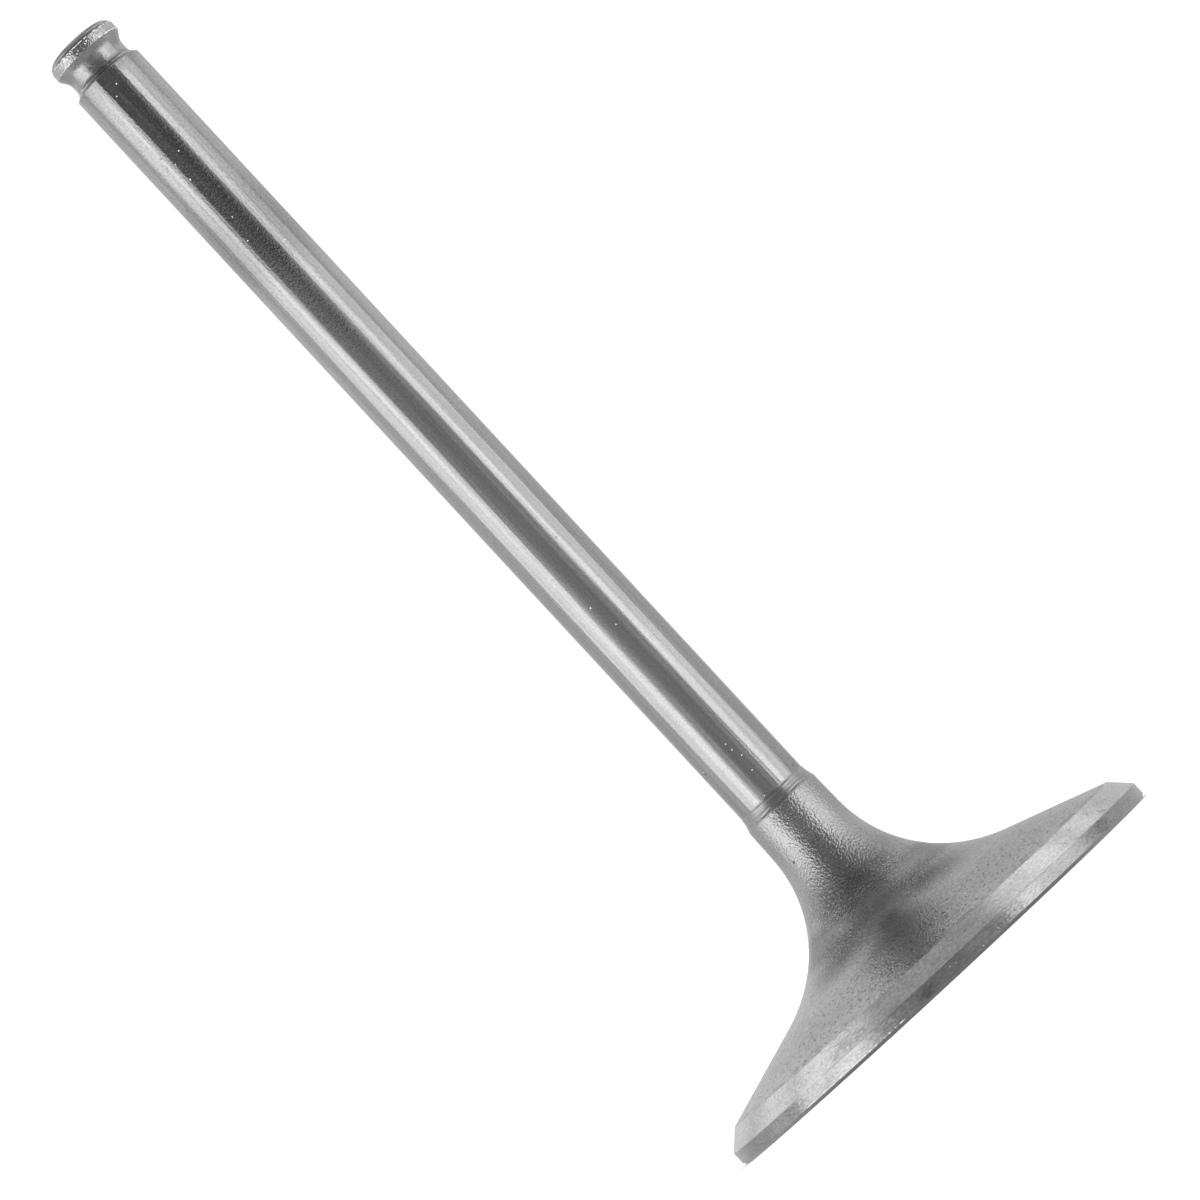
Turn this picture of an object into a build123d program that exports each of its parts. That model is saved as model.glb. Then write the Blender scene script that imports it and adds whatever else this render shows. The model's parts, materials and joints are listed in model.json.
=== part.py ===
from build123d import *

import os
from math import acos, cos, degrees, radians, sin, tan

# Poppet valve of an engine, in millimetres: one forging, turned and ground, so one solid of revolution.
# It stands on its combustion face. The origin is the centre of that face and +Z runs up the stem to the
# tip. Half of its section is drawn with X as the radius and Y as the height, and turned once about Z.

# Overall
LENGTH = 127.35  # combustion face to tip end
HEAD_DIAMETER = 53.9
STEM_DIAMETER = 7.96  # ground to run in a nominal 8 mm guide

# Head, from the combustion face up
FACE_EDGE_WIDTH = 0.4  # break of the combustion face's edge, across the face
FACE_EDGE_HEIGHT = 0.35  # the same break, up the margin
MARGIN_HEIGHT = 1.67  # top of the cylindrical margin above the combustion face
SEAT_ANGLE = 45.0  # seat cone, from the plane of the head
SEAT_WIDTH = 2.65  # along the seat's slope
TULIP_ANGLE = 18.1  # back of the head outside the fillet, from the plane of the head

# Compound fillet that sweeps the head into the neck, and the neck
TULIP_FILLET_RADIUS = 16.0
TULIP_FILLET_TURN = 20.6  # turn of the tulip's arc, in degrees, before the neck's arc takes over
NECK_FILLET_RADIUS = 13.9
NECK_TAPER = 1.3  # lean of the neck's side towards the stem, in degrees
NECK_LENGTH = 3.6  # straight side of the neck above the fillet

# Turned ring where the neck steps down to the ground stem
SHOULDER_STEP = 0.22  # drop in radius on the steeper, lower cone
SHOULDER_HEIGHT = 0.72
RUNOUT_STEP = 0.12  # drop in radius on the cone that runs out into the stem
RUNOUT_HEIGHT = 0.83

# Keeper groove, from the tip down
LAND_HEIGHT = 1.7  # tip end to the groove's upper edge
GROOVE_DEPTH = 0.66
GROOVE_FLANK_ANGLE = 35.0  # upper flank, which the keepers bear on, from the axis
GROOVE_UPPER_RADIUS = 1.7  # root below that flank
GROOVE_FLOOR_HEIGHT = 0.48  # straight floor between the two roots
GROOVE_LOWER_RADIUS = 1.0  # root that runs out towards the stem
GROOVE_EDGE_BREAK = 0.11  # bevel on the stem's edge at the groove

# Rounded edge of the tip
TIP_EDGE_WIDTH = 0.87  # across the tip end
TIP_EDGE_HEIGHT = 0.81  # down the land
TIP_EDGE_RADIUS = 1.2

head_radius = HEAD_DIAMETER / 2
stem_radius = STEM_DIAMETER / 2
neck_radius = stem_radius + RUNOUT_STEP + SHOULDER_STEP
tulip_heading = 180 - TULIP_ANGLE
neck_heading = 90 + NECK_TAPER


def heading(angle):
    """Unit step in the section's plane, its angle in degrees from the outward radius."""
    return Vector(cos(radians(angle)), sin(radians(angle)))


def compound_fillet(start):
    """The tulip's arc and the neck's arc, tangent to each other, up from a point on the tulip's cone."""
    tulip_arc = JernArc(start, heading(tulip_heading), TULIP_FILLET_RADIUS, -TULIP_FILLET_TURN)
    neck_turn = tulip_heading - TULIP_FILLET_TURN - neck_heading
    neck_arc = JernArc(tulip_arc @ 1, tulip_arc % 1, NECK_FILLET_RADIUS, -neck_turn)
    return [tulip_arc, neck_arc]


def head_outline():
    """Combustion face, margin, seat and tulip, and the fillet that ends at the foot of the neck."""
    margin_top = Vector(head_radius, MARGIN_HEIGHT)
    seat_top = margin_top + heading(180 - SEAT_ANGLE) * SEAT_WIDTH
    neck_foot_radius = neck_radius + NECK_LENGTH * sin(radians(NECK_TAPER))
    fillet_width = seat_top.X - (compound_fillet(seat_top)[-1] @ 1).X
    cone_width = seat_top.X - fillet_width - neck_foot_radius
    cone_end = seat_top + heading(tulip_heading) * (cone_width / cos(radians(TULIP_ANGLE)))
    face_and_cone = Polyline(
        (0, 0),
        (head_radius - FACE_EDGE_WIDTH, 0),
        (head_radius, FACE_EDGE_HEIGHT),
        margin_top,
        seat_top,
        cone_end,
    )
    return [face_and_cone, *compound_fillet(cone_end)]


def groove_outline():
    """Keeper groove: lower root, floor, upper root and flank, from the stem's edge up to the land."""
    root_width = GROOVE_UPPER_RADIUS * (1 - cos(radians(GROOVE_FLANK_ANGLE)))
    root_height = GROOVE_UPPER_RADIUS * sin(radians(GROOVE_FLANK_ANGLE))
    flank_height = (GROOVE_DEPTH - root_width) / tan(radians(GROOVE_FLANK_ANGLE))
    land_edge = Vector(stem_radius, LENGTH - LAND_HEIGHT)
    floor_top = land_edge - Vector(GROOVE_DEPTH, flank_height + root_height)
    floor_foot = floor_top - Vector(0, GROOVE_FLOOR_HEIGHT)
    runout_turn = degrees(acos(1 - (GROOVE_DEPTH - GROOVE_EDGE_BREAK) / GROOVE_LOWER_RADIUS))
    lower_root = JernArc(floor_foot, heading(-90), GROOVE_LOWER_RADIUS, runout_turn)
    upper_root = JernArc(floor_top, heading(90), GROOVE_UPPER_RADIUS, -GROOVE_FLANK_ANGLE)
    return [lower_root, Line(floor_foot, floor_top), upper_root, Line(upper_root @ 1, land_edge)]


def stem_outline(neck_foot, groove_mouth):
    """Neck, turned ring and ground stem, between the head's fillet and the keeper groove."""
    neck_top = neck_foot + heading(neck_heading) * NECK_LENGTH
    shoulder_top = neck_top + Vector(-SHOULDER_STEP, SHOULDER_HEIGHT)
    stem_foot = shoulder_top + Vector(-RUNOUT_STEP, RUNOUT_HEIGHT)
    stem_edge = groove_mouth + Vector(GROOVE_EDGE_BREAK, -GROOVE_EDGE_BREAK)
    return [Polyline(neck_foot, neck_top, shoulder_top, stem_foot, stem_edge, groove_mouth)]


def tip_outline():
    """Land above the groove, rounded edge and flat tip end, closed down the axis."""
    land_edge = Vector(stem_radius, LENGTH - LAND_HEIGHT)
    land_top = Vector(stem_radius, LENGTH - TIP_EDGE_HEIGHT)
    end_edge = Vector(stem_radius - TIP_EDGE_WIDTH, LENGTH)
    return [
        Line(land_edge, land_top),
        RadiusArc(land_top, end_edge, -TIP_EDGE_RADIUS),
        Polyline(end_edge, (0, LENGTH), (0, 0)),
    ]


head = head_outline()
groove = groove_outline()
stem = stem_outline(neck_foot=head[-1] @ 1, groove_mouth=groove[0] @ 1)
half_section = Plane.XZ * make_face([*head, *stem, *groove, *tip_outline()])
engine_valve = revolve(half_section, Axis.Z)

os.makedirs("parts", exist_ok=True)
export_step(engine_valve, "parts/engine_valve.step")
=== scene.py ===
import json
from collections import namedtuple
from math import acos, asin, atan2, ceil, cos, degrees, pi, radians, sin, tan

import bpy
import numpy as np
from mathutils import Matrix, Vector


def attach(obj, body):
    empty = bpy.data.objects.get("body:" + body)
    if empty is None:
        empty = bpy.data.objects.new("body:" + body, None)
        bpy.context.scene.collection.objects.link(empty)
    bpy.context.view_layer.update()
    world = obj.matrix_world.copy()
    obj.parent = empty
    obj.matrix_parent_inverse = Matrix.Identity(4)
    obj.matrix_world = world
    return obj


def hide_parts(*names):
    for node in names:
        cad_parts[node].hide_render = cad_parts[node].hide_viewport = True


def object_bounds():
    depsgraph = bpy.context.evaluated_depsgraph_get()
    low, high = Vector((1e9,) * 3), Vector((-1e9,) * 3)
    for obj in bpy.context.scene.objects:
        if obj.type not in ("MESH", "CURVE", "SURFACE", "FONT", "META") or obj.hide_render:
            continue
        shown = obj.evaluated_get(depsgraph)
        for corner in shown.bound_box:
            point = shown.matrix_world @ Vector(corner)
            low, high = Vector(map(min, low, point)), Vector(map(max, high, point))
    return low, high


# A poppet engine valve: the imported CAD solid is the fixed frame, and one finely divided turning with real
# edge radii and surface finishes stands for it. Sizes are in millimetres here and go to metres in the mesh.

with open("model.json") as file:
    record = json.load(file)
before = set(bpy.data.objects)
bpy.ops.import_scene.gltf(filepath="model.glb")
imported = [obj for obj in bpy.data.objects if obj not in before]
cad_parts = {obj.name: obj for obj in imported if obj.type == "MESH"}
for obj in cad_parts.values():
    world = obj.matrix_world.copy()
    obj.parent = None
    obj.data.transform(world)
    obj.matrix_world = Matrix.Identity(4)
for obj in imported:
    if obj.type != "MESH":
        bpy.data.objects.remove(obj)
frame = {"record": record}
cad_low, cad_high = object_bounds()
MM = 0.001
NODE = "engine_valve"

# ---------------------------------------------------------------- sizes of the turning, in millimetres
LENGTH = (cad_high.z - cad_low.z) / MM
HEAD_RADIUS = (cad_high.x - cad_low.x) / 2 / MM
STEM_RADIUS = next(m["dims"]["r_mm"] for m in frame["record"]["mounts"] if m["name"] == "stem")

# a pair is the width across the radius, then the height
FACE_EDGE = (0.40, 0.35)
MARGIN_HEIGHT = 1.67
SEAT_TOP = (25.076, 3.544)  # radius and height
TULIP_ANGLE = 18.1
TULIP_FILLET_RADIUS = 16.0
TULIP_FILLET_TURN = 20.6
NECK_FILLET_RADIUS = 13.9
NECK_TAPER = 1.3
NECK_LENGTH = 3.6
NECK_STEP = 0.34
NECK_RADIUS = STEM_RADIUS + NECK_STEP
SHOULDER = (0.22, 0.72)
RUNOUT = (0.12, 0.83)
LAND_HEIGHT = 1.7
GROOVE_DEPTH = 0.66
GROOVE_FLANK_ANGLE = 35.0
GROOVE_UPPER_RADIUS = 1.7
GROOVE_FLOOR_HEIGHT = 0.48
GROOVE_LOWER_RADIUS = 1.0
GROOVE_EDGE_BREAK = 0.11
TIP_EDGE = (0.87, 0.81)
TIP_EDGE_RADIUS = 1.2

# radii of the worn edges, from the face up to the tip
FACE_ROUND = 0.05
FACE_EDGE_ROUND = 0.06
MARGIN_ROUND = 0.07
SEAT_ROUND = 0.06
NECK_ROUND = 0.12
STEM_ROUND = 0.05
LAND_FOOT_ROUND = 0.06
LAND_TOP_ROUND = 0.05
TIP_ROUND = 0.06

# tool marks round the machined ring: (height, depth)
RING_SCORES = ((24.10, 0.06), (24.48, 0.02), (24.80, 0.026), (25.24, 0.055))
RING_SCORE_WIDTH = 0.085
RING_SCORE_WANDER = 0.035
RING_SCORE_MEAN = 0.75
RING_SCORE_SWING = 0.45
RING_SCORE_LIMITS = (0.1, 1.3)
DEPTH_SEED = 20

# waves to the turning that a wandering line is made of, and what brings their sum to about 1
WAVES = range(2, 15)
WAVE_SHARE = 3.2

# the mesh: faces round the axis, the longest chord along the section in each zone, and the smallest rings
SEGMENTS = 352
CHORD = {
    "face": 2.2, "chamfer": 0.2, "margin": 0.22, "seat": 0.26, "blasted": 0.36, "ring": 0.08, "stem": 2.5,
    "groove foot": 0.12, "groove floor": 0.16, "groove root": 0.13, "groove flank": 0.14, "land": 0.12,
    "tip_edge": 0.12, "tip_end": 0.7,
}
FACE_HUB = 0.4
TIP_HUB = 0.15


def heading(angle):
    return np.array([cos(radians(angle)), sin(radians(angle))])


def arc(start, start_heading, radius, turn, step):
    """Points of an arc after its start. A positive turn is anticlockwise; step is the longest chord."""
    side = 1 if turn > 0 else -1
    centre = np.array(start) + radius * heading(start_heading + 90 * side)
    count = max(2, ceil(abs(radians(turn)) * radius / step))
    spoke = np.array(start) - centre
    points = []
    for i in range(1, count + 1):
        a = radians(turn * i / count)
        points.append(centre + np.array([spoke[0] * cos(a) - spoke[1] * sin(a),
                                         spoke[0] * sin(a) + spoke[1] * cos(a)]))
    return points


def line(start, end, step):
    """Points along a straight stretch after its start."""
    start, end = np.array(start), np.array(end)
    count = max(1, ceil(float(np.linalg.norm(end - start)) / step))
    return [start + (end - start) * i / count for i in range(1, count + 1)]


def corner(before, at, after, radius, count=3):
    """A small rounded edge: points of the arc that replaces the corner at `at`."""
    at = np.array(at)
    a = np.array(before) - at
    b = np.array(after) - at
    a = a / np.linalg.norm(a)
    b = b / np.linalg.norm(b)
    half = acos(np.clip(a @ b, -1, 1)) / 2
    reach = radius / tan(half)
    middle = (a + b) / np.linalg.norm(a + b)
    centre = at + middle * radius / sin(half)
    first, last = at + a * reach - centre, at + b * reach - centre
    start_angle = atan2(first[1], first[0])
    turn = (atan2(last[1], last[0]) - start_angle + pi) % (2 * pi) - pi
    angles = [start_angle + turn * i / count for i in range(count + 1)]
    return [centre + radius * np.array([cos(a), sin(a)]) for a in angles]


def outline():
    """The section from the centre of the combustion face to the centre of the tip end, as zones of points."""
    margin_low = np.array([HEAD_RADIUS, FACE_EDGE[1]])
    margin_top = np.array([HEAD_RADIUS, MARGIN_HEIGHT])
    seat_top = np.array(SEAT_TOP)
    face_edge = np.array([HEAD_RADIUS - FACE_EDGE[0], 0.0])

    # compound fillet, slid along the tulip's cone until it meets the neck
    tulip_heading, neck_heading = 180 - TULIP_ANGLE, 90 + NECK_TAPER
    between_heading = tulip_heading - TULIP_FILLET_TURN
    neck_turn = between_heading - neck_heading

    def fillet(start, chord):
        first = arc(start, tulip_heading, TULIP_FILLET_RADIUS, -TULIP_FILLET_TURN, chord)
        return first + arc(first[-1], between_heading, NECK_FILLET_RADIUS, -neck_turn, chord)

    neck_foot_radius = NECK_RADIUS + NECK_LENGTH * sin(radians(NECK_TAPER))
    width = seat_top[0] - fillet(seat_top, 1.0)[-1][0]
    cone_length = (seat_top[0] - width - neck_foot_radius) / cos(radians(TULIP_ANGLE))
    cone_end = seat_top + heading(tulip_heading) * cone_length
    sweep = fillet(cone_end, CHORD["blasted"])
    neck_foot = sweep[-1]
    neck_top = neck_foot + heading(neck_heading) * NECK_LENGTH
    shoulder_top = neck_top + np.array([-SHOULDER[0], SHOULDER[1]])
    stem_foot = shoulder_top + np.array([-RUNOUT[0], RUNOUT[1]])

    # keeper groove: a wide upper root under the undercut flank, a floor, and a tighter lower root
    root_width = GROOVE_UPPER_RADIUS * (1 - cos(radians(GROOVE_FLANK_ANGLE)))
    root_height = GROOVE_UPPER_RADIUS * sin(radians(GROOVE_FLANK_ANGLE))
    flank_height = (GROOVE_DEPTH - root_width) / tan(radians(GROOVE_FLANK_ANGLE))
    land_edge = np.array([STEM_RADIUS, LENGTH - LAND_HEIGHT])
    floor_top = land_edge - np.array([GROOVE_DEPTH, flank_height + root_height])
    floor_foot = floor_top - np.array([0, GROOVE_FLOOR_HEIGHT])
    runout_turn = degrees(acos(1 - (GROOVE_DEPTH - GROOVE_EDGE_BREAK) / GROOVE_LOWER_RADIUS))
    lower_root = [floor_foot] + arc(floor_foot, -90, GROOVE_LOWER_RADIUS, runout_turn, CHORD["groove foot"])
    lower_root.reverse()
    mouth = lower_root[0]
    stem_edge = mouth + np.array([GROOVE_EDGE_BREAK, -GROOVE_EDGE_BREAK])
    upper_root = arc(floor_top, 90, GROOVE_UPPER_RADIUS, -GROOVE_FLANK_ANGLE, CHORD["groove root"])

    # the tip's edge: one arc from the land to the end
    land_top = np.array([STEM_RADIUS, LENGTH - TIP_EDGE[1]])
    end_edge = np.array([STEM_RADIUS - TIP_EDGE[0], LENGTH])
    chord = end_edge - land_top
    half = degrees(asin(np.linalg.norm(chord) / 2 / TIP_EDGE_RADIUS))
    chord_heading = degrees(atan2(chord[1], chord[0]))
    tip_arc = arc(land_top, chord_heading - half, TIP_EDGE_RADIUS, 2 * half, CHORD["tip_edge"])

    face = corner((0, 0), face_edge, margin_low, FACE_ROUND)
    low = corner(face_edge, margin_low, margin_top, FACE_EDGE_ROUND)
    top = corner(margin_low, margin_top, seat_top, MARGIN_ROUND, 4)
    rim = corner(margin_top, seat_top, cone_end, SEAT_ROUND)
    neck_edge = corner(neck_foot, neck_top, shoulder_top, NECK_ROUND)
    edge = corner(stem_foot, stem_edge, mouth, STEM_ROUND, 2)
    land_foot = corner(upper_root[-1], land_edge, land_top, LAND_FOOT_ROUND)
    land_head = corner(land_edge, land_top, tip_arc[1], LAND_TOP_ROUND)
    end = corner(tip_arc[-2], end_edge, (0, LENGTH), TIP_ROUND)
    return [
        ("face", line((FACE_HUB, 0), face[0], CHORD["face"])),
        ("chamfer", face[1:] + line(face[-1], low[0], CHORD["chamfer"])),
        ("margin", low[1:] + line(low[-1], top[0], CHORD["margin"])),
        ("seat", top[1:] + line(top[-1], rim[0], CHORD["seat"])),
        ("blasted", rim[1:] + line(rim[-1], cone_end, CHORD["blasted"]) + sweep
         + line(neck_foot, neck_edge[0], CHORD["blasted"])),
        ("ring", neck_edge[1:] + line(neck_edge[-1], shoulder_top, CHORD["ring"])
         + line(shoulder_top, stem_foot, CHORD["ring"])),
        ("stem", line(stem_foot, edge[0], CHORD["stem"])),
        ("groove", edge[1:] + lower_root[1:] + line(floor_foot, floor_top, CHORD["groove floor"])
         + upper_root + line(upper_root[-1], land_foot[0], CHORD["groove flank"])),
        ("land", land_foot[1:] + line(land_foot[-1], land_head[0], CHORD["land"])),
        ("tip_edge", land_head[1:] + tip_arc[1:-1] + end),
        ("tip_end", line(end[-1], (TIP_HUB, LENGTH), CHORD["tip_end"])),
    ]


def wander(turn, seed):
    """A smooth wave round the turning, between about -1 and 1, that closes on itself."""
    random = np.random.default_rng(seed)
    return sum(random.normal() / WAVE_SHARE * np.sin(wave * turn + random.uniform(0, 2 * pi))
               for wave in WAVES)


def scored(height, turn):
    """Depth of the tool marks round the machined ring: one at each end and fainter ones between them."""
    depth = np.zeros((len(height), len(turn)))
    for seed, (place, strength) in enumerate(RING_SCORES):
        line_height = place + RING_SCORE_WANDER * wander(turn, seed)
        swing = RING_SCORE_MEAN + RING_SCORE_SWING * wander(turn, seed + DEPTH_SEED)
        line_depth = strength * swing.clip(*RING_SCORE_LIMITS)
        depth += line_depth * np.exp(-((height - line_height) / RING_SCORE_WIDTH) ** 2)
    return depth


def lathe(name, zones):
    """A closed mesh turned about Z. Each ring of faces takes the material index of its zone."""
    rings, zone_of = [], []
    for index, (_, points) in enumerate(zones):
        for p in points:
            rings.append(p)
            zone_of.append(index)
    rings = np.array(rings)
    turn = np.arange(SEGMENTS) * 2 * pi / SEGMENTS
    radius = rings[:, :1] - scored(rings[:, 1:], turn)
    co = np.empty((len(rings), SEGMENTS, 3))
    co[..., 0] = radius * np.cos(turn)
    co[..., 1] = radius * np.sin(turn)
    co[..., 2] = rings[:, 1:]
    co = co.reshape(-1, 3) * MM
    faces, slots = [], []
    for i in range(len(rings) - 1):
        a = i * SEGMENTS
        for j in range(SEGMENTS):
            k = (j + 1) % SEGMENTS
            faces.append((a + j, a + k, a + SEGMENTS + k, a + SEGMENTS + j))
        slots += [zone_of[i + 1]] * SEGMENTS
    bottom, top = len(co), len(co) + 1
    last = (len(rings) - 1) * SEGMENTS
    for j in range(SEGMENTS):
        k = (j + 1) % SEGMENTS
        faces.append((bottom, k, j))
        slots.append(0)
        faces.append((top, last + j, last + k))
        slots.append(len(zones) - 1)
    co = np.vstack([co, [[0, 0, rings[0, 1] * MM], [0, 0, rings[-1, 1] * MM]]])
    mesh = bpy.data.meshes.new(name)
    mesh.from_pydata(co.tolist(), [], faces)
    mesh.polygons.foreach_set("material_index", slots)
    mesh.polygons.foreach_set("use_smooth", [True] * len(faces))
    mesh.update()
    piece = bpy.data.objects.new(name, mesh)
    bpy.context.scene.collection.objects.link(piece)
    return piece


zones = outline()
valve = lathe("valve_turning", zones)


# ---------------------------------------------------------------- the view of the photo
CAMERA = Vector((0.533, -658.28, 12.68)) * MM
CAMERA_PITCH = 3.32
CAMERA_ROLL = 42.813
LENS = 199.2
SENSOR_WIDTH = 36
CLIP = (0.01, 20)
PHOTO_WIDTH = 1200

# the middle of the photo, in its pixels: along the valve's axis from the keeper groove towards the head, and
# right of the axis
PHOTO_MIDDLE = (737.9, 5.4)


def seen(marks):
    """Places on the turning of marks seen in the photo: (pixels along the axis, pixels right of it, size)."""
    pixels = PHOTO_WIDTH * LENS / SENSOR_WIDTH
    tilt = Matrix.Rotation(radians(CAMERA_PITCH), 3, "X")
    depsgraph = bpy.context.evaluated_depsgraph_get()
    places = []
    for along, right, size in marks:
        sideways = (right - PHOTO_MIDDLE[1]) / pixels
        upward = (PHOTO_MIDDLE[0] - along) / pixels
        ray = tilt @ Vector((sideways, 1, upward))
        hit, place, _, _ = valve.ray_cast(CAMERA, ray, depsgraph=depsgraph)
        assert hit, "a mark lies off the valve"
        places.append((*(place / MM), size))
    return places


# ---------------------------------------------------------------- finishes
# the inner part of a mark, in shares of its radius, that has its full strength
MARK_CORE = 0.45
SCATTERED_CORE = 0.5
BURR_HIGHLIGHT_CORE = 0.4

# how softly the chosen share of the scattered marks is cut off from the rest
SHARE_SOFTNESS = 0.01

# dust, and burr edges painted pale as highlights
PALE_GREY = 0.85
PALE_ROUGHNESS = 0.6
PALE_METALLIC = 0.15

# a burr edge's painted highlight wavers and breaks up round the turning, and fades out at its ends
BURR_HIGHLIGHT_WOBBLE_SCALE = 1.4
BURR_HIGHLIGHT_BREAK_SCALE = 2.6
BURR_HIGHLIGHT_BREAK = (0.62, 0.7)
BURR_HIGHLIGHT_BREAK_RANGE = 0.25
BURR_HIGHLIGHT_END = 0.6
BurrHighlight = namedtuple("BurrHighlight", "height width wander share left right")


class Nodes:
    """Short forms for building a node tree."""

    def __init__(self, tree):
        self.tree = tree

    def new(self, kind, **settings):
        node = self.tree.nodes.new(kind)
        for key, value in settings.items():
            setattr(node, key, value)
        return node

    def link(self, source, target):
        if isinstance(source, (int, float, tuple)):
            target.default_value = source
        else:
            self.tree.links.new(source, target)

    def math(self, operation, a, b=0.0, c=0.0):
        node = self.new("ShaderNodeMath", operation=operation)
        for value, socket in zip((a, b, c), node.inputs):
            self.link(value, socket)
        return node.outputs[0]

    def add(self, *values):
        total = values[0]
        for value in values[1:]:
            total = self.math("ADD", total, value)
        return total

    def times(self, *values):
        product = values[0]
        for value in values[1:]:
            product = self.math("MULTIPLY", product, value)
        return product

    def step(self, value, low, high):
        """0 below low, 1 above high, smooth between."""
        node = self.new("ShaderNodeMapRange", interpolation_type="SMOOTHSTEP")
        self.link(value, node.inputs["Value"])
        node.inputs["From Min"].default_value = low
        node.inputs["From Max"].default_value = high
        return node.outputs["Result"]

    def fade(self, value, low, high):
        """1 below low, 0 above high, smooth between."""
        return self.math("SUBTRACT", 1.0, self.step(value, low, high))

    def mix(self, mask, a, b):
        node = self.new("ShaderNodeMix", data_type="FLOAT")
        self.link(mask, node.inputs["Factor"])
        self.link(a, node.inputs["A"])
        self.link(b, node.inputs["B"])
        return node.outputs["Result"]

    def scaled(self, point, across, along):
        """A point in millimetres, scaled across the axis and along it."""
        node = self.new("ShaderNodeVectorMath", operation="MULTIPLY")
        self.link(point, node.inputs[0])
        self.link((across, across, along), node.inputs[1])
        return node.outputs[0]

    def noise(self, point, scale=1.0, detail=1.0, roughness=0.5):
        node = self.new("ShaderNodeTexNoise")
        self.link(point, node.inputs["Vector"])
        node.inputs["Scale"].default_value = scale
        node.inputs["Detail"].default_value = detail
        node.inputs["Roughness"].default_value = roughness
        return node.outputs["Fac"]

    def cells(self, point, scale):
        """Distance to the nearest of many scattered points, and a number that is random for each of them."""
        node = self.new("ShaderNodeTexVoronoi")
        self.link(point, node.inputs["Vector"])
        node.inputs["Scale"].default_value = scale
        number = self.new("ShaderNodeSeparateColor")
        self.link(node.outputs["Color"], number.inputs[0])
        return node.outputs["Distance"], number.outputs[0]

    def scattered(self, point, scale, share, size):
        """Small round marks on a share of the scattered points; size is a part of their spacing."""
        distance, number = self.cells(point, scale)
        chosen = self.fade(number, share, share + SHARE_SOFTNESS)
        return self.times(self.fade(distance, size * SCATTERED_CORE, size), chosen)

    def marks(self, point, places):
        """Round marks at (x, y, z, radius) in millimetres, joined into one mask."""
        mask = 0.0
        for x, y, z, radius in places:
            node = self.new("ShaderNodeVectorMath", operation="DISTANCE")
            self.link(point, node.inputs[0])
            self.link((x, y, z), node.inputs[1])
            mask = self.math("MAXIMUM", mask, self.fade(node.outputs["Value"], radius * MARK_CORE, radius))
        return mask


class Finish:
    """A metal with its coordinates in millimetres, ready for bump, colour and roughness to be joined on."""

    def __init__(self, name, roughness):
        self.material = bpy.data.materials.new(name)
        self.material.use_nodes = True
        self.nodes = Nodes(self.material.node_tree)
        self.shader = self.material.node_tree.nodes["Principled BSDF"]
        self.shader.inputs["Metallic"].default_value = 1
        self.shader.inputs["Roughness"].default_value = roughness
        n = self.nodes
        metres = n.new("ShaderNodeTexCoord").outputs["Object"]
        to_mm = n.new("ShaderNodeVectorMath", operation="SCALE")
        n.link(metres, to_mm.inputs[0])
        to_mm.inputs["Scale"].default_value = 1 / MM
        self.point = to_mm.outputs[0]
        split = n.new("ShaderNodeSeparateXYZ")
        n.link(self.point, split.inputs[0])
        self.x, self.y, self.z = split.outputs
        self.radius = n.math("SQRT", n.add(n.times(self.x, self.x), n.times(self.y, self.y)))

    def grey(self, value):
        colour = self.nodes.new("ShaderNodeCombineColor")
        for socket in colour.inputs:
            self.nodes.link(value, socket)
        self.nodes.link(colour.outputs[0], self.shader.inputs["Base Color"])

    def rough(self, value):
        self.nodes.link(value, self.shader.inputs["Roughness"])

    def coat(self, shade, roughness, pale):
        """Colour and gloss of the metal. Pale masks dust, and burr edges painted pale as highlights; both
        scatter light.
        """
        n = self.nodes
        self.grey(n.mix(pale, shade, PALE_GREY))
        self.rough(n.mix(pale, roughness, PALE_ROUGHNESS))
        n.link(n.mix(pale, 1.0, PALE_METALLIC), self.shader.inputs["Metallic"])

    def burr_highlight(self, edge):
        """A broken pale line round the turning along a cutting burr: a painted highlight. Share is how much
        shows.
        """
        n = self.nodes
        wobble = n.times(n.add(n.noise(n.scaled(self.point, BURR_HIGHLIGHT_WOBBLE_SCALE, 0.0)), -0.5), edge.wander)
        distance = n.math("ABSOLUTE", n.add(self.z, wobble, -edge.height))
        breaks = n.noise(n.scaled(self.point, BURR_HIGHLIGHT_BREAK_SCALE, 0.0), 1.0, 2.0)
        broken = n.step(breaks, *(limit - edge.share * BURR_HIGHLIGHT_BREAK_RANGE for limit in BURR_HIGHLIGHT_BREAK))
        starts = n.step(self.x, edge.left - BURR_HIGHLIGHT_END, edge.left)
        ends = n.fade(self.x, edge.right, edge.right + BURR_HIGHLIGHT_END)
        return n.times(n.fade(distance, edge.width * BURR_HIGHLIGHT_CORE, edge.width), broken, n.times(starts, ends))

    def bump(self, height):
        """Height in millimetres."""
        node = self.nodes.new("ShaderNodeBump")
        node.inputs["Distance"].default_value = MM
        self.nodes.link(height, node.inputs["Height"])
        self.nodes.link(node.outputs[0], self.shader.inputs["Normal"])


def at(radius, marks):
    """Places on the turning for marks given as (degrees round from the front, height, size)."""
    return [(radius * sin(radians(angle)), -radius * cos(radians(angle)), height, size)
            for angle, height, size in marks]


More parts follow.
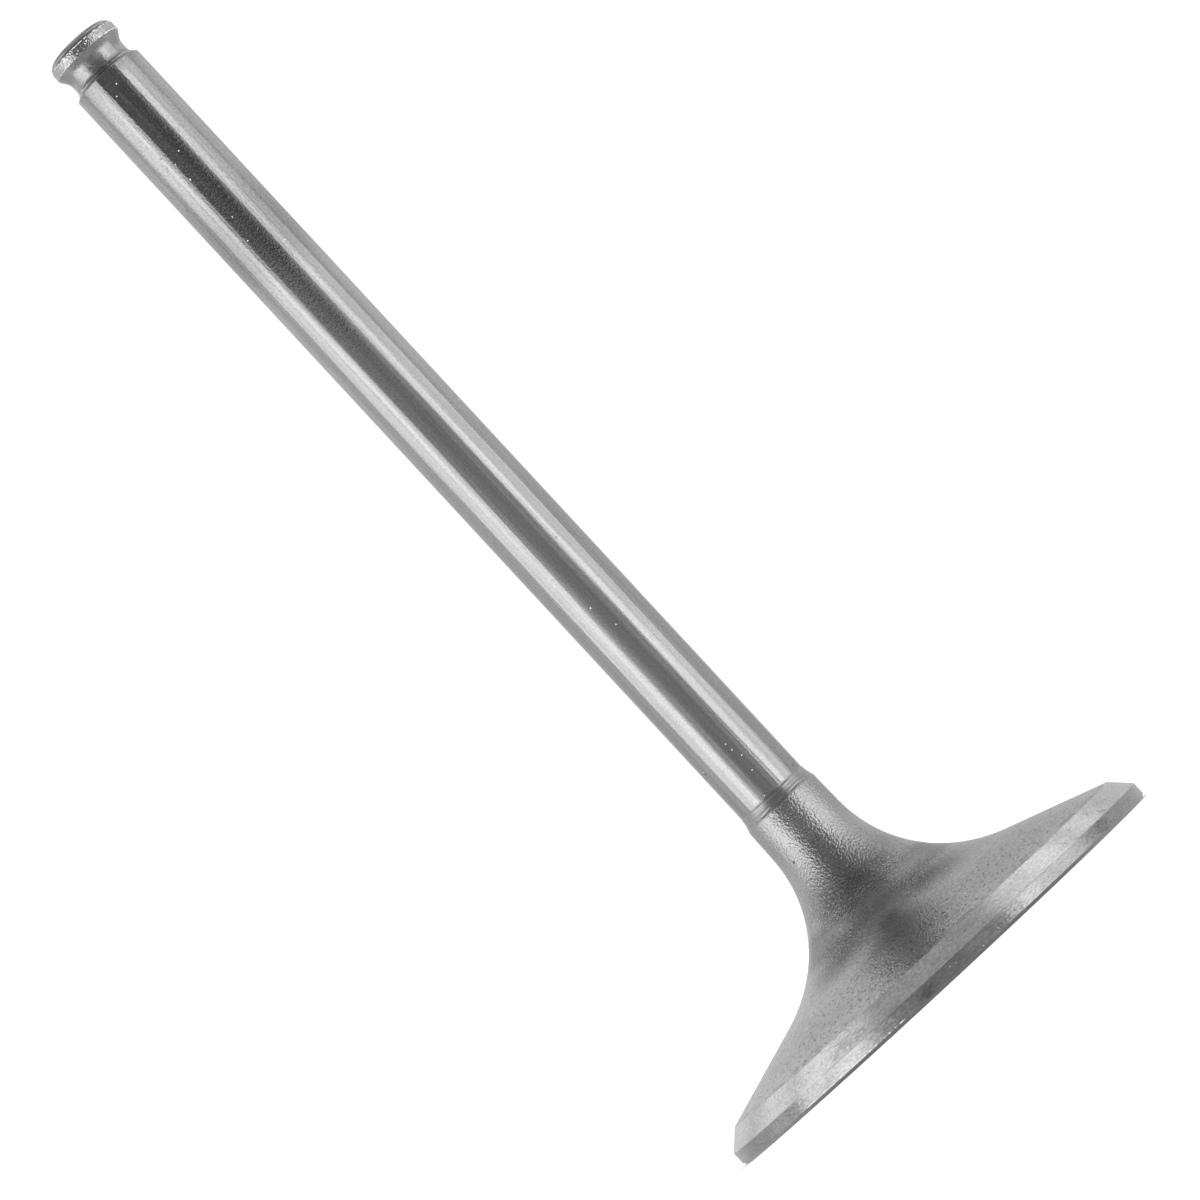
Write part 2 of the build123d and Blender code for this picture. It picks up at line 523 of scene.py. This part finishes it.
# marks read off the photo: pixels along the axis from the keeper groove, pixels right of the axis, and
# size in millimetres; only the pit at (1212.5, 60) wasn't read but placed to join its two neighbours
STEM_SPECKS = ((30.5, 1.5, 0.1), (40, -7, 0.09), (122, 1.5, 0.1), (130, -10, 0.08), (151, -9.5, 0.12),
               (207, -4, 0.08), (235, -9, 0.1), (737.5, -7, 0.11), (766.5, 0.5, 0.08), (929, -0.5, 0.09),
               (948, 4, 0.09), (966, 1.5, 0.08), (993, -7, 0.07))
STEM_STAINS = ((116, -17, 0.22), (127, -19, 0.2), (172, -33, 0.22), (937, -36, 0.3), (941, -39, 0.3),
               (986, 39, 0.25), (990, 35, 0.22), (662, 16, 0.2))
BLASTED_PITS = ((1062, -31, 0.2), (1213, -69, 0.26), (1213, -80, 0.18), (1210, 57, 0.14), (1212.5, 60, 0.12),
                (1214, 62, 0.12), (1205, -24, 0.2))
SEAT_MARKS = ((1232, -114, 1.1), (1232, -104, 0.9), (1229, -122, 1.1), (1232, -132, 0.9), (1232, -97, 0.7),
              (1226, 218, 0.7), (1233, 230, 0.6), (1232, 181, 0.2), (1236, 204, 0.2))
MARGIN_DOTS = ((1244.5, 13, 0.05), (1246, 20, 0.05), (1252, 52, 0.06), (1249.5, 75, 0.06))
LAND_DOTS = ((-21.5, 8.5, 0.1), (-20.5, 5.5, 0.08), (-24.5, -5, 0.07), (-20, 10, 0.06))

# soft patches of painted shade: degrees round from the front, height, size in millimetres
MARGIN_PAINTED_SHADE = ((-44, 0.9, 2.6), (-14, 0.5, 2.8), (-4, 0.3, 1.8), (20, 0.4, 2.4), (52, 0.8, 1.6))
LAND_PAINTED_SHADE = ((0, 126.1, 1.0), (9, 126.3, 0.8), (-8, 126.2, 0.8), (3, 126.5, 0.8))


# the stem, by height: coarser grinding and a darker colour near the groove, and a darker band below it
STEM_COARSE = (90.0, 98.0)
STEM_DARKENS = (95.0, 98.0)
STEM_DARK_BAND_FOOT = (92.0, 99.5)
STEM_DARK_BAND_TOP = (101.0, 109.0)

# the blasted skin, by radius from the neck out to the rim
NECK_ENDS = (4.7, 6.2)
FINER_GRAIN = (5.2, 7.5)
PITS_BEGIN = (6.0, 8.0)
FILLET_BEGINS = (6.9, 7.7)
FILLET_ENDS = (9.1, 10.4)
TULIP_BEGINS = (12.0, 18.0)
RIM_PITS_BEGIN = (13.0, 20.0)
RIM_BEGINS = (20.5, 24.5)
RIM_STREAKS_BEGIN = (23.7, 24.5)


def darkened(n, shade, mask, strength):
    """The shade with a share of it taken away where the mask is."""
    return n.times(shade, n.math("SUBTRACT", 1.0, n.times(mask, strength)))


def stem_finish():
    """Ground and plated: a fine lengthwise ripple and streaks, a few specks of dust and small stains."""
    f = Finish("stem_ground", 0.15)
    n = f.nodes
    coarse = n.step(f.z, *STEM_COARSE)
    ripple = n.noise(n.scaled(f.point, 5.5, 3.0), 1.0, 1.0)
    ripple_depth = n.mix(coarse, 0.0045, 0.0095)
    pimples = n.noise(f.point, 6.5, 0.0)
    pimple_depth = n.mix(n.step(n.noise(f.point, 0.12), 0.45, 0.6), 0.001, 0.004)
    streaks = n.noise(n.scaled(f.point, 3.0, 0.05), 1.0, 1.0)
    streak_depth = 0.017
    grinding = n.noise(n.scaled(f.point, 0.5, 9.0), 1.0, 1.0)
    grinding_depth = 0.0006
    f.bump(n.add(n.times(ripple, ripple_depth), n.times(pimples, pimple_depth),
                 n.times(streaks, streak_depth), n.times(grinding, grinding_depth)))
    dust = n.math("MAXIMUM", n.marks(f.point, seen(STEM_SPECKS)), n.scattered(f.point, 0.55, 0.12, 0.05))
    stains = n.marks(f.point, seen(STEM_STAINS))
    cloud = n.noise(n.scaled(f.point, 0.5, 0.12), 1.0, 2.0)
    lines = n.noise(n.scaled(f.point, 3.0, 0.03), 1.0, 2.0)
    mottle = n.times(n.add(n.noise(f.point, 4.5, 1.0), -0.5), n.mix(coarse, 0.22, 0.36))
    base_grey = 0.39
    shade = n.add(base_grey, n.times(cloud, 0.1), n.times(lines, 0.24), mottle)
    # darker in a band below the groove and darker again towards it, by height only
    dark_band = n.times(n.step(f.z, *STEM_DARK_BAND_FOOT), n.fade(f.z, *STEM_DARK_BAND_TOP))
    shade = n.times(shade, n.add(1.0, n.times(dark_band, -0.15), n.times(n.step(f.z, *STEM_DARKENS), -0.07)))
    shade = darkened(n, shade, stains, 0.35)
    gloss = n.add(0.05, n.times(cloud, 0.09))
    f.coat(shade, gloss, dust)
    return f.material


def blasted_finish():
    """Shot-blasted neck, fillet and tulip: coarse grain, dark pits, painted shade in the fillet and a paler
    rim.
    """
    f = Finish("blasted", 0.3)
    n = f.nodes
    neck = n.fade(f.radius, *NECK_ENDS)
    fillet = n.times(n.step(f.radius, *FILLET_BEGINS), n.fade(f.radius, *FILLET_ENDS))
    outer = n.step(f.radius, *TULIP_BEGINS)
    rim = n.step(f.radius, *RIM_BEGINS)
    coarse = n.noise(f.point, 4.1, 1.0)
    fine = n.noise(f.point, 7.5, 1.0)
    grain = n.noise(f.point, 3.0, 2.0, 0.6)
    pits = n.times(n.scattered(f.point, 1.2, 0.24, 0.18), n.step(f.radius, *PITS_BEGIN))
    rim_pits = n.times(n.scattered(f.point, 1.9, 0.46, 0.36), n.step(f.radius, *RIM_PITS_BEGIN))
    seen_pits = n.marks(f.point, seen(BLASTED_PITS))
    pits = n.math("MAXIMUM", n.math("MAXIMUM", pits, rim_pits), seen_pits)
    neck_depth, fillet_depth, tulip_depth = 0.076, 0.032, 0.08
    coarse_depth = n.mix(outer, n.mix(n.step(f.radius, *FINER_GRAIN), neck_depth, fillet_depth), tulip_depth)
    fine_depth, pit_depth = 0.02, 0.02
    f.bump(n.add(n.times(coarse, coarse_depth), n.times(fine, fine_depth), n.times(pits, -pit_depth)))
    cloud = n.noise(f.point, 0.35, 3.0, 0.6)
    grain_contrast = n.mix(neck, n.mix(outer, 0.36, 0.56), 0.05)
    base_grey = 0.41
    shade = n.add(base_grey, n.times(cloud, 0.12), n.times(fine, 0.12),
                  n.times(n.add(grain, -0.5), grain_contrast),
                  n.times(outer, 0.03), n.times(rim, 0.07), n.times(neck, 0.03))
    # painted shade: the fillet's hollow between neck and tulip is darkened in colour where shade falls
    shade = darkened(n, shade, fillet, 0.39)
    streaks = n.step(n.noise(n.scaled(f.point, 0.55, 1.5), 1.0, 2.0), 0.5, 0.62)
    streaks = n.times(streaks, n.step(f.radius, *RIM_STREAKS_BEGIN))
    shade = darkened(n, shade, pits, 0.75)
    shade = darkened(n, shade, streaks, 0.3)
    f.grey(shade)
    f.rough(n.add(0.14, n.times(cloud, 0.1)))
    return f.material


def turned_finish(name, grey, roughness, mark_width, mark_depth, mottle_width, mottle_depth, contrast,
                  smudges_and_painted_shade=(), dots=(), burr_highlights=(), knocks=0.0):
    """Cut or ground in the lathe: marks round the axis, and a mottle of handling wear over them.

    Contrast is how much the marks show in the colour. Smudges and painted shade are dark; dots and the burr
    edges' painted highlights are pale. Knocks is the depth of small sharp dents. Widths and depths are in
    millimetres.
    """
    f = Finish(name, roughness)
    n = f.nodes
    marks = n.noise(n.scaled(f.point, 0.3 / mark_width, 1 / mark_width), 1.0, 2.0)
    spots = n.noise(f.point, 1 / mottle_width, 1.0)
    patches = n.noise(n.scaled(f.point, 0.4, 0.9), 1.0, 2.0)
    height = n.add(n.times(marks, mark_depth), n.times(spots, mottle_depth))
    if knocks:
        height = n.add(height, n.times(n.scattered(f.point, 3.6, 0.6, 0.5), -knocks))
    f.bump(height)
    shade = n.add(grey - contrast, n.times(patches, contrast * 0.5), n.times(marks, contrast * 1.2),
                  n.times(spots, contrast * 0.3))
    # dark patches: smudges on the seat, painted shade on the margin and the land
    if smudges_and_painted_shade:
        blots = n.step(n.noise(n.scaled(f.point, 1.8, 5.5), 1.0, 2.0), 0.4, 0.56)
        shade = n.times(shade, n.math("SUBTRACT", 1.0, n.times(n.marks(f.point, smudges_and_painted_shade), blots, 0.27)))
    pale = n.marks(f.point, dots)
    # burr edges: pale paint that stands for their highlight
    for edge in burr_highlights:
        pale = n.math("MAXIMUM", pale, f.burr_highlight(edge))
    gloss = n.add(roughness - 0.05, n.times(patches, 0.06), n.times(spots, 0.04))
    f.coat(shade, gloss, pale)
    return f.material


def faced_finish(name, grey, roughness, mark_width):
    """A flat face, turned: rings about the axis with a faint mottle."""
    f = Finish(name, roughness)
    n = f.nodes
    ring = n.new("ShaderNodeCombineXYZ")
    n.link(n.times(f.radius, 1 / mark_width), ring.inputs[0])
    rings = n.noise(ring.outputs[0], 1.0, 2.0)
    patches = n.noise(f.point, 0.25, 3.0)
    spots = n.noise(f.point, 3.0, 1.0)
    ring_depth, spot_depth = 0.006, 0.004
    f.bump(n.add(n.times(rings, ring_depth), n.times(spots, spot_depth)))
    f.grey(n.add(grey - 0.08, n.times(patches, 0.1), n.times(rings, 0.06)))
    f.rough(n.add(roughness - 0.05, n.times(patches, 0.1)))
    return f.material


# burr edges with painted highlights: at the face, at the foot of the land on both sides of its dark middle,
# and at the tip's edge
FACE_BURR_HIGHLIGHT = BurrHighlight(height=0.42, width=0.07, wander=0.05, share=0.45, left=-18.4, right=-5.6)
LAND_FOOT = LENGTH - LAND_HEIGHT
LAND_BURR_HIGHLIGHTS = (
    BurrHighlight(height=LAND_FOOT + 0.05, width=0.05, wander=0.05, share=0.5, left=-3.6, right=-1.9),
    BurrHighlight(height=LAND_FOOT + 0.05, width=0.06, wander=0.05, share=0.75, left=1.9, right=3.7),
)
TIP_EDGE_FOOT = LENGTH - TIP_EDGE[1]
TIP_BURR_HIGHLIGHT = BurrHighlight(height=TIP_EDGE_FOOT + 0.03, width=0.06, wander=0.06, share=0.65, left=-3.7, right=3.7)

FINISHES = {
    "face": faced_finish("face_turned", grey=0.5, roughness=0.32, mark_width=0.22),
    "chamfer": turned_finish("face_edge", grey=0.45, roughness=0.3, mark_width=0.12, mark_depth=0.004,
                             mottle_width=0.5, mottle_depth=0.01, contrast=0.15),
    # the margin: patches of painted shade, and a burr edge painted pale as its highlight
    "margin": turned_finish("margin_ground", grey=0.53, roughness=0.18, mark_width=0.12, mark_depth=0.006,
                            mottle_width=0.35, mottle_depth=0.01, contrast=0.45,
                            smudges_and_painted_shade=at(HEAD_RADIUS, MARGIN_PAINTED_SHADE), dots=seen(MARGIN_DOTS),
                            burr_highlights=(FACE_BURR_HIGHLIGHT,)),
    "seat": turned_finish("seat_ground", grey=0.72, roughness=0.22, mark_width=0.11, mark_depth=0.004,
                          mottle_width=0.3, mottle_depth=0.003, contrast=0.55, smudges_and_painted_shade=seen(SEAT_MARKS)),
    "blasted": blasted_finish(),
    "ring": turned_finish("ring_turned", grey=0.5, roughness=0.28, mark_width=0.12, mark_depth=0.008,
                          mottle_width=0.5, mottle_depth=0.01, contrast=0.15),
    "stem": stem_finish(),
    "groove": turned_finish("groove_turned", grey=0.54, roughness=0.2, mark_width=0.16, mark_depth=0.006,
                            mottle_width=0.3, mottle_depth=0.03, contrast=0.15),
    # the land: painted shade in its middle, which faces the front, and burr edges painted pale as highlights
    "land": turned_finish("land_ground", grey=0.67, roughness=0.14, mark_width=0.25, mark_depth=0.003,
                          mottle_width=0.22, mottle_depth=0.07, contrast=0.12, knocks=0.024,
                          smudges_and_painted_shade=at(STEM_RADIUS, LAND_PAINTED_SHADE), dots=seen(LAND_DOTS), burr_highlights=LAND_BURR_HIGHLIGHTS),
    # the tip's edge: a burr edge painted pale as its highlight
    "tip_edge": turned_finish("tip_edge_ground", grey=0.52, roughness=0.28, mark_width=0.12, mark_depth=0.006,
                              mottle_width=0.4, mottle_depth=0.02, contrast=0.2, burr_highlights=(TIP_BURR_HIGHLIGHT,)),
    "tip_end": faced_finish("tip_end_ground", grey=0.5, roughness=0.3, mark_width=0.15),
}
for zone, _ in zones:
    valve.data.materials.append(FINISHES[zone])


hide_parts(NODE)
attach(valve, "root")


# ---------------------------------------------------------------- camera
camera = bpy.data.objects.new("camera", bpy.data.cameras.new("camera"))
bpy.context.scene.collection.objects.link(camera)
camera.location = CAMERA
look = Matrix.Rotation(radians(90 + CAMERA_PITCH), 4, "X")
camera.matrix_world = Matrix.Translation(CAMERA) @ look @ Matrix.Rotation(radians(-CAMERA_ROLL), 4, "Z")
camera.data.sensor_width = SENSOR_WIDTH
camera.data.lens = LENS
camera.data.clip_start, camera.data.clip_end = CLIP
bpy.context.scene.camera = camera


# ---------------------------------------------------------------- floor and light
FLOOR_REACH = 6.0


def floor():
    """A plain white floor that the metal doesn't mirror."""
    mesh = bpy.data.meshes.new("floor")
    corners = [(x * FLOOR_REACH, y * FLOOR_REACH, 0) for x, y in ((-1, -1), (1, -1), (1, 1), (-1, 1))]
    mesh.from_pydata(corners, [], [(0, 1, 2, 3)])
    plane = bpy.data.objects.new("floor", mesh)
    bpy.context.scene.collection.objects.link(plane)
    material = bpy.data.materials.new("floor_white")
    material.use_nodes = True
    shader = material.node_tree.nodes["Principled BSDF"]
    shader.inputs["Base Color"].default_value = (0.9, 0.9, 0.9, 1)
    shader.inputs["Roughness"].default_value = 0.9
    shader.inputs["Specular IOR Level"].default_value = 0.0
    mesh.materials.append(material)
    plane.visible_glossy = False


floor()


# The studio as the metal mirrors it. Azimuth runs from the front (0) round to the back (180). Each panel has
# its azimuths, elevations, the softness of its sides and of its ends, and its brightness, and covers the ones
# before it. A panel of BOTH_SIDES is on the left and on the right.
BOTH_SIDES = (
    ("far side walls", (88, 112), (-25, 3), (8, 8), 0.44),
    ("rear side walls", (104, 150), (5, 14), (8, 2), 0.7),
    ("rear side walls, low", (104, 150), (-30, 4), (8, 5), 0.48),
    ("low front", (-50, 24), (-100, 40), (14, 10), 0.235),
    ("side softbox", (37, 89), (-33, 24), (7, 7), 1.0),
    ("softbox core", (45, 57), (-32, 13), (5, 8), 1.36),
    ("front above the lens", (-50, 32), (7.2, 120), (7, 0.6), 0.045),
    ("upper front", (-50, 36), (10, 120), (6, 2), 0.115),
    ("upper sides", (-50, 130), (37, 120), (6, 6), 0.21),
    ("upper front, darker", (-50, 22), (37, 120), (8, 6), 0.09),
    ("top front", (-50, 86), (56, 120), (8, 5), 0.02),
    ("top sides", (50, 86), (49, 120), (8, 4), 0.12),
    ("overhead strip", (111, 131), (46, 66), (6, 4), 1.15),
    ("overhead strip, front end", (88, 128), (60, 71), (8, 5), 0.85),
    ("overhead strip, rear end", (128, 150), (30, 44), (6, 5), 0.9),
    ("rear gap", (132, 165), (48, 82), (4, 5), 0.12),
    ("lower rear gap", (150, 165), (31, 52), (4, 4), 0.25),
)
# laid on after them, each on one side only: the left side is negative, the right side positive
ONE_SIDE = (
    ("left softbox, wide half", (-88, -50), (-32, 17), (5, 7), 1.18),
    ("left softbox, core", (-64, -48), (-32, 14), (4, 7), 1.4),
    ("beside the camera", (-14, -3), (7.2, 16), (3, 0.6), 0.1),
    ("left softbox, seam", (-63, -58), (3, 17), (2, 3), 0.95),
    ("left softbox, outer end", (-94, -81), (6, 17), (4, 3), 0.9),
    ("left far wall", (-112, -94), (-25, 12), (5, 8), 0.57),
    ("beside the right softbox", (24, 36), (-25, 7), (4, 3), 0.3),
    ("right softbox, outer half", (60, 84), (3, 17), (3, 1.5), 0.86),
    ("lower front, left", (-32, -4), (4.5, 7), (4, 1), 0.3),
    ("beside the camera, upper", (-34, -4), (8.9, 16), (5, 0.6), 0.13),
    ("right softbox, top end", (40, 89), (17, 32), (6, 4), 0.66),
    ("right rear wall", (98, 146), (15, 34), (8, 4), 0.47),
    ("rear left wall", (-190, -156), (6, 34), (8, 6), 0.72),
)
WALLS = 0.57
CEILING = 0.34
CEILING_BEGINS = (70, 80)
UNDER_FLOOR = 0.36
UNDER_FLOOR_ENDS = (-52, -38)
BACKDROP = 1.05
DAYLIGHT_ON_FLOOR = 1.5


def studio():
    """A world that shows white to the camera, lights the floor and shows the panels to the metal."""
    world = bpy.data.worlds.new("studio")
    bpy.context.scene.world = world
    world.use_nodes = True
    tree = world.node_tree
    tree.nodes.clear()
    n = Nodes(tree)
    split = n.new("ShaderNodeSeparateXYZ")
    n.link(n.new("ShaderNodeTexCoord").outputs["Generated"], split.inputs[0])
    x, y, z = split.outputs
    azimuth = n.times(n.math("ARCTAN2", x, n.times(y, -1.0)), degrees(1))
    elevation = n.times(n.math("ARCSINE", z), degrees(1))

    def band(value, low, high, soft):
        return n.times(n.step(value, low - soft, low + soft), n.fade(value, high - soft, high + soft))

    def lay(light, panels, azimuth):
        for _, sides, ends, (side_soft, end_soft), brightness in panels:
            mask = n.times(band(azimuth, *sides, side_soft), band(elevation, *ends, end_soft))
            light = n.mix(mask, light, brightness)
        return light

    light = lay(WALLS, BOTH_SIDES, n.math("ABSOLUTE", azimuth))
    light = lay(light, ONE_SIDE, azimuth)
    light = n.mix(n.step(elevation, *CEILING_BEGINS), light, CEILING)
    light = n.mix(n.fade(elevation, *UNDER_FLOOR_ENDS), light, UNDER_FLOOR)

    path = n.new("ShaderNodeLightPath")
    unmirrored = n.mix(path.outputs["Is Camera Ray"], DAYLIGHT_ON_FLOOR, BACKDROP)
    background = n.new("ShaderNodeBackground")
    n.link(n.mix(path.outputs["Is Glossy Ray"], unmirrored, light), background.inputs["Color"])
    n.link(background.outputs[0], n.new("ShaderNodeOutputWorld").inputs["Surface"])


studio()
bpy.context.scene.view_settings.view_transform = "Standard"
